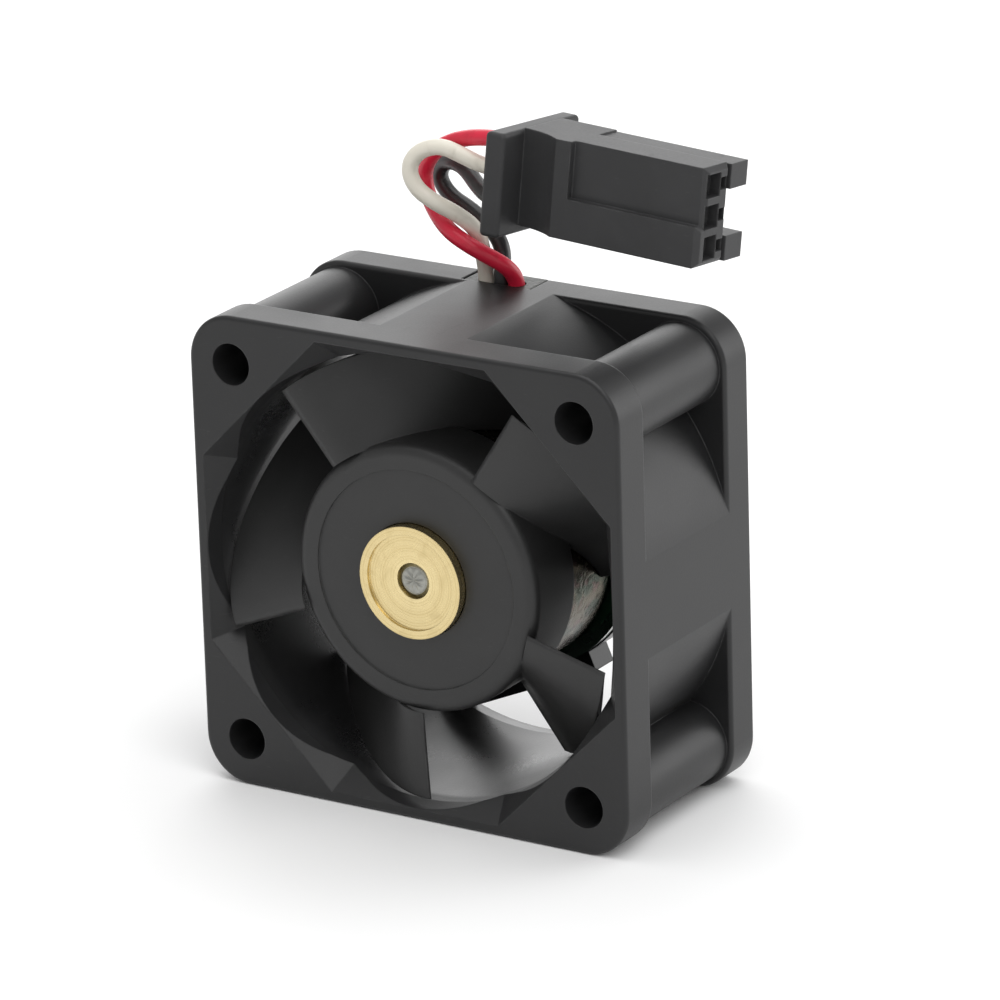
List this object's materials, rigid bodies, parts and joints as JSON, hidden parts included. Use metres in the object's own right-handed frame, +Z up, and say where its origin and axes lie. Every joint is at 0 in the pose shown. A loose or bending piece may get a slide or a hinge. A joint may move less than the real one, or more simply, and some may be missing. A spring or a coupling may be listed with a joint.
{
  "type": "axial cooling fan",
  "caption": "Square axial fan with a round duct, bladed hub on a ball-bearing shaft, brass boss, strutted motor base and coloured leads to a plug housing.",
  "frame": {"origin": "centre of the housing's lower edge face, half-way along its depth", "axes": "+Z up, +Y backwards along the shaft (the rotor side faces -Y), +X to the right seen from the front"},
  "size_m": [0.0407, 0.0228, 0.0545],
  "materials": {
    "housing_plastic": "moulded dark charcoal, satin",
    "impeller_plastic": "moulded dark charcoal, satin",
    "turned_brass": "turned",
    "boss_brass": "turned, bright",
    "shaft_steel": "ground",
    "yoke_steel": "yellow passivated zinc, iridescent",
    "magnet": "bonded magnet, dull",
    "stator_steel": "laminated electrical steel",
    "insulator_plastic": "moulded natural nylon",
    "winding_copper": "enamelled copper wire",
    "pin_tin": "tinned",
    "board": "glass fibre board, varnished",
    "chip_black": "moulded epoxy",
    "capacitor_ceramic": "ceramic, fired",
    "solder": "bright solder",
    "wire_white": "soft plastic insulation",
    "wire_black": "soft plastic insulation",
    "wire_red": "soft plastic insulation",
    "sealant": "cast resin, dark",
    "race_steel": "ground",
    "shield_steel": "pressed",
    "ball_steel": "polished",
    "cage_steel": "pressed",
    "washer_steel": "pressed",
    "spring_steel": "tempered",
    "connector_plastic": "moulded black, satin",
    "contact_tin": "tinned, formed sheet"
  },
  "bodies": {
    "housing": {"frame": "housing_plastic", "bearing_tube": "turned_brass", "stator_core": "stator_steel", "front_insulator": "insulator_plastic", "rear_insulator": "insulator_plastic", "coils": "winding_copper", "terminal_pins": "pin_tin", "circuit_board": "board", "hall_sensor": "chip_black", "driver_chip": "chip_black", "capacitor": "capacitor_ceramic", "resistors": "chip_black", "solder_joints": "solder", "inner_lead_white": "wire_white", "inner_lead_black": "wire_black", "inner_lead_red": "wire_red", "lead_sealant": "sealant", "front_outer_race": "race_steel", "rear_outer_race": "race_steel", "front_shields": "shield_steel", "rear_shields": "shield_steel", "lead_red": "wire_red", "lead_white": "wire_white", "lead_black": "wire_black", "connector_housing": "connector_plastic", "contacts": "contact_tin"},
    "rotor": {"impeller": "impeller_plastic", "hub_boss": "boss_brass", "shaft": "shaft_steel", "rotor_yoke": "yoke_steel", "magnet_ring": "magnet", "front_inner_race": "race_steel", "rear_inner_race": "race_steel", "shaft_washers": "washer_steel", "retaining_ring": "spring_steel", "preload_spring": "spring_steel"},
    "front_ball_set": {"front_balls": "ball_steel", "front_cage": "cage_steel"},
    "rear_ball_set": {"rear_balls": "ball_steel", "rear_cage": "cage_steel"}
  },
  "joints": [
    {"name": "rotor_spin", "type": "hinge", "parent": "housing", "child": "rotor", "pos_m": [0, 0, 0.02], "axis": [0, 1, 0], "continuous": true},
    {"name": "front_ball_spin", "type": "hinge", "parent": "housing", "child": "front_ball_set", "pos_m": [0, -0.0033, 0.02], "axis": [0, 1, 0], "continuous": true},
    {"name": "rear_ball_spin", "type": "hinge", "parent": "housing", "child": "rear_ball_set", "pos_m": [0, 0.0059, 0.02], "axis": [0, 1, 0], "continuous": true}
  ],
  "couplings": [
    {"joint": "front_ball_spin", "follows": "rotor_spin", "ratio": 0.386},
    {"joint": "rear_ball_spin", "follows": "rotor_spin", "ratio": 0.386}
  ]
}
